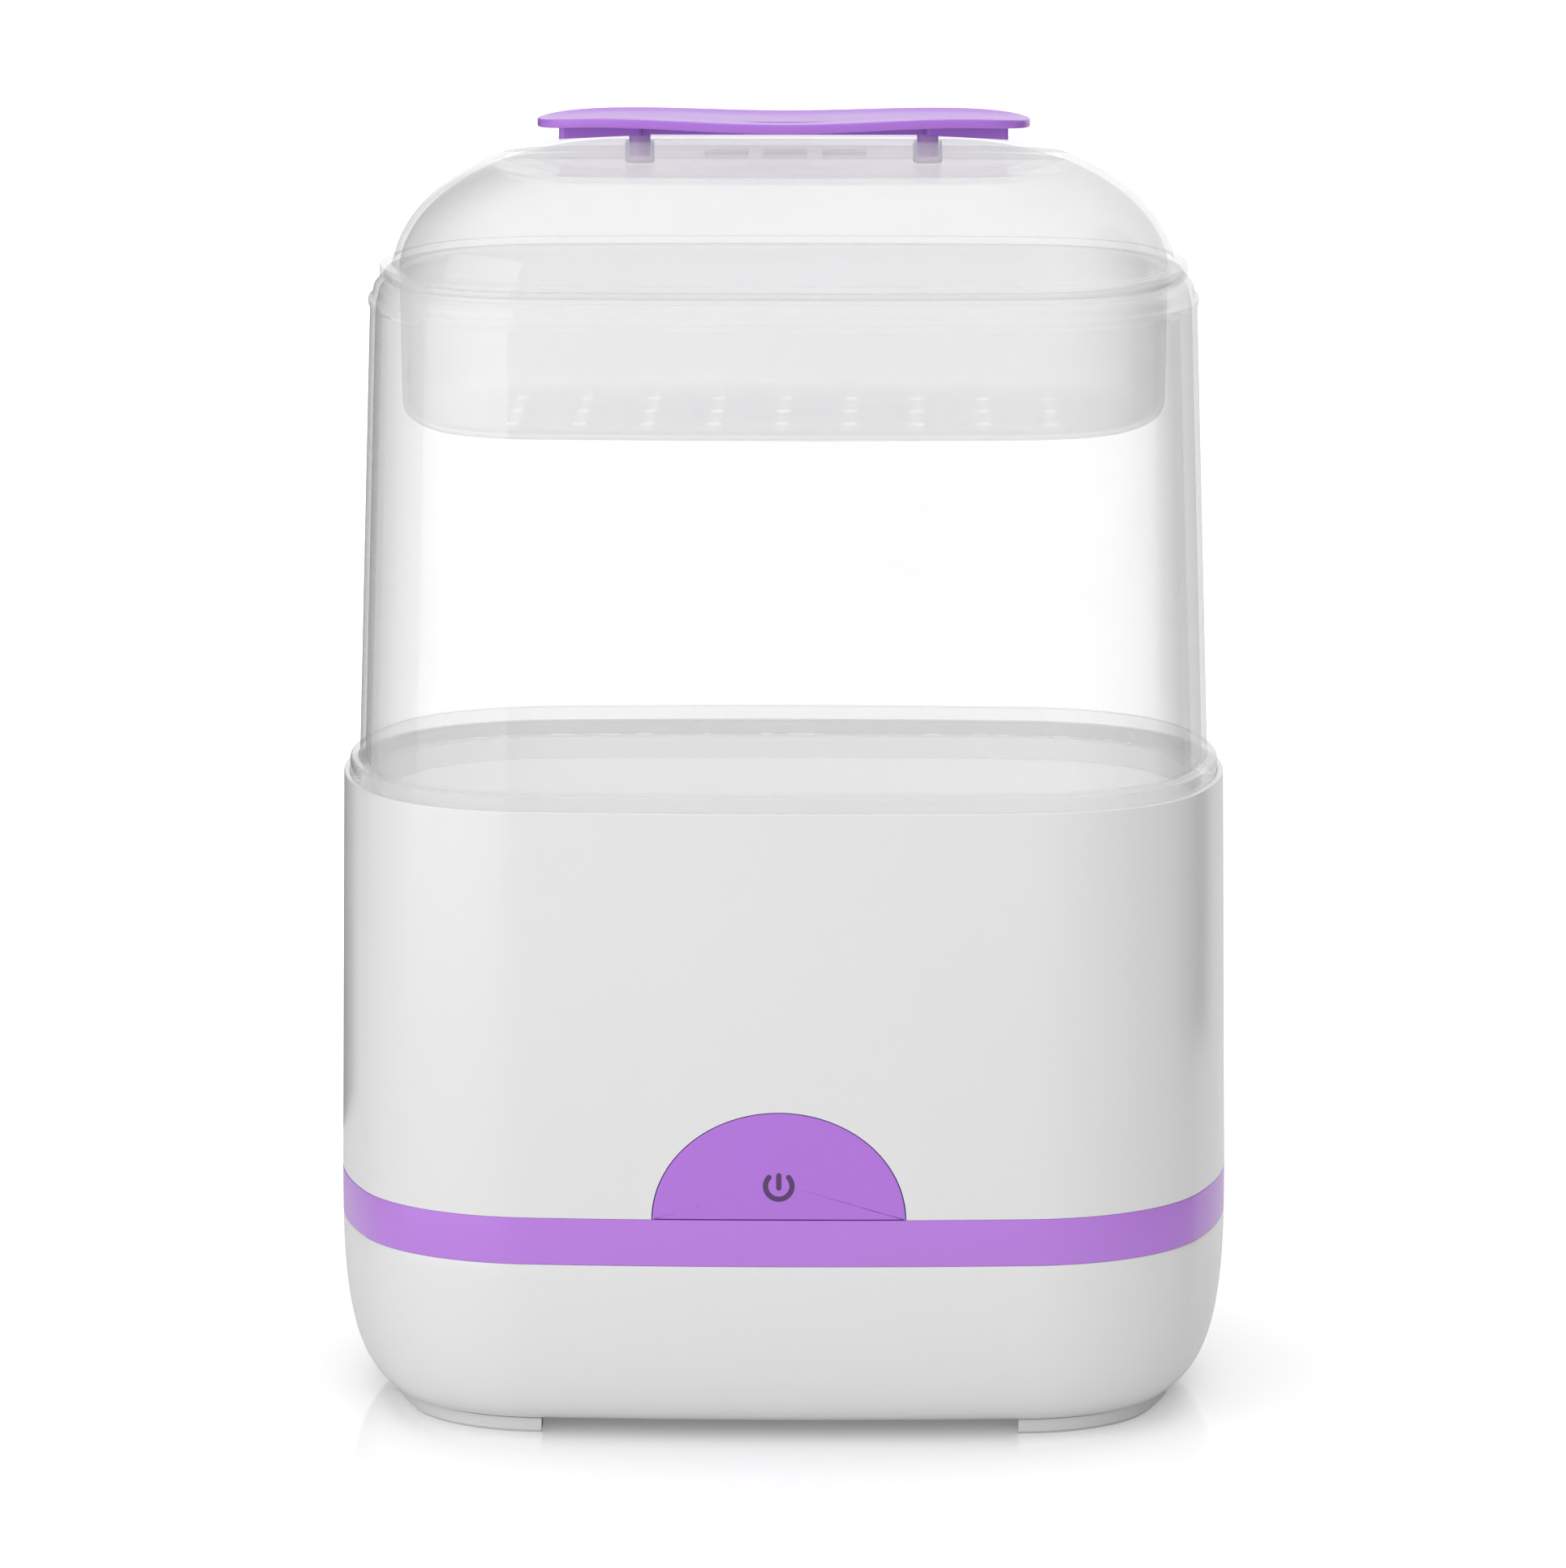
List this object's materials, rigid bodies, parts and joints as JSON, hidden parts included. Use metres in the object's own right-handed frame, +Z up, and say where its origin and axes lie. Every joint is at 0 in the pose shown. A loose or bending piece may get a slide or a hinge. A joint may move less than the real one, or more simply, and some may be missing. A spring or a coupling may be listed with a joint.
{
  "type": "electric steam bottle sterilizer",
  "caption": "Counter-top electric steam sterilizer with an oval base, clear chamber sleeve, lift-out rack and parts tray, and a clear domed lid with a wing handle.",
  "frame": {"origin": "middle of the plane the four feet rest on", "axes": "+Z up, -Y towards the front with the power button, +X to the right seen from the front"},
  "size_m": [0.2412, 0.17, 0.3472],
  "materials": {
    "white_casing": "moulded, gloss",
    "purple_trim": "moulded, gloss",
    "purple_button": "moulded, satin gloss",
    "purple_handle": "moulded, gloss, slightly translucent",
    "symbol_ink": "two-shot inlay",
    "foot_plastic": "fine moulded grain",
    "tub_plastic": "satin moulded",
    "screw_steel": "zinc plated",
    "board_laminate": "solder mask",
    "switch_housing": "moulded",
    "plunger_plastic": "moulded",
    "lamp_lens": "diffused lens",
    "relay_case": "moulded",
    "terminal_plastic": "moulded",
    "heater_aluminium": "spun, brushed round",
    "silicone_rubber": "soft matte",
    "element_steel": "heat tinted",
    "clamp_steel": "pressed, plated",
    "thermostat_can": "pressed",
    "fuse_sleeve": "woven glass sleeve",
    "inlet_plastic": "moulded",
    "pin_brass": "plated",
    "live_insulation": "wire insulation",
    "neutral_insulation": "wire insulation",
    "earth_insulation": "wire insulation",
    "heater_insulation": "silicone insulation",
    "rack_plastic": "satin moulded",
    "clear_sleeve_plastic": "clear polypropylene, gloss",
    "milky_tray_plastic": "milky polypropylene",
    "clear_lid_plastic": "clear polypropylene, gloss"
  },
  "bodies": {
    "base": {"bottom_pan": "white_casing", "upper_shell": "white_casing", "trim_band": "purple_trim", "foot_front_left": "foot_plastic", "foot_front_right": "foot_plastic", "foot_rear_left": "foot_plastic", "foot_rear_right": "foot_plastic", "steam_tub": "tub_plastic", "case_screws": "screw_steel", "control_board": "board_laminate", "board_screws": "screw_steel", "push_switch": "switch_housing", "power_led": "lamp_lens", "power_relay": "relay_case", "terminal_block": "terminal_plastic", "heating_plate": "heater_aluminium", "plate_gasket": "silicone_rubber", "heating_element": "element_steel", "heater_clamp_ring": "clamp_steel", "heater_screws": "screw_steel", "thermostat": "thermostat_can", "thermal_fuse": "fuse_sleeve", "mains_inlet": "inlet_plastic", "inlet_pins": "pin_brass", "inlet_screws": "screw_steel", "live_wire": "live_insulation", "neutral_wire": "neutral_insulation", "earth_wire": "earth_insulation", "heater_wires": "heater_insulation"},
    "button": {"power_button": "purple_button", "power_symbol": "symbol_ink"},
    "plunger": {"switch_plunger": "plunger_plastic"},
    "rack": {"bottle_rack": "rack_plastic"},
    "sleeve": {"chamber_sleeve": "clear_sleeve_plastic"},
    "tray": {"parts_tray": "milky_tray_plastic"},
    "lid": {"lid": "clear_lid_plastic", "lid_handle": "purple_handle"}
  },
  "joints": [
    {"name": "button_press", "type": "slide", "parent": "base", "child": "button", "axis": [0, 1, 0], "range_m": [0, 0.0012], "stiffness_N_per_m": 400, "springref_m": -0.002},
    {"name": "plunger_press", "type": "slide", "parent": "base", "child": "plunger", "axis": [0, 1, 0], "range_m": [0, 0.0012]},
    {"name": "rack_lift", "type": "slide", "parent": "base", "child": "rack", "axis": [0, 0, 1], "range_m": [0, 0.1]},
    {"name": "sleeve_lift", "type": "slide", "parent": "base", "child": "sleeve", "axis": [0, 0, 1], "range_m": [0, 0.16]},
    {"name": "tray_lift", "type": "slide", "parent": "sleeve", "child": "tray", "axis": [0, 0, 1], "range_m": [0, 0.1]},
    {"name": "lid_lift", "type": "slide", "parent": "tray", "child": "lid", "axis": [0, 0, 1], "range_m": [0, 0.12]}
  ],
  "couplings": [
    {"joint": "plunger_press", "follows": "button_press", "ratio": 1}
  ]
}
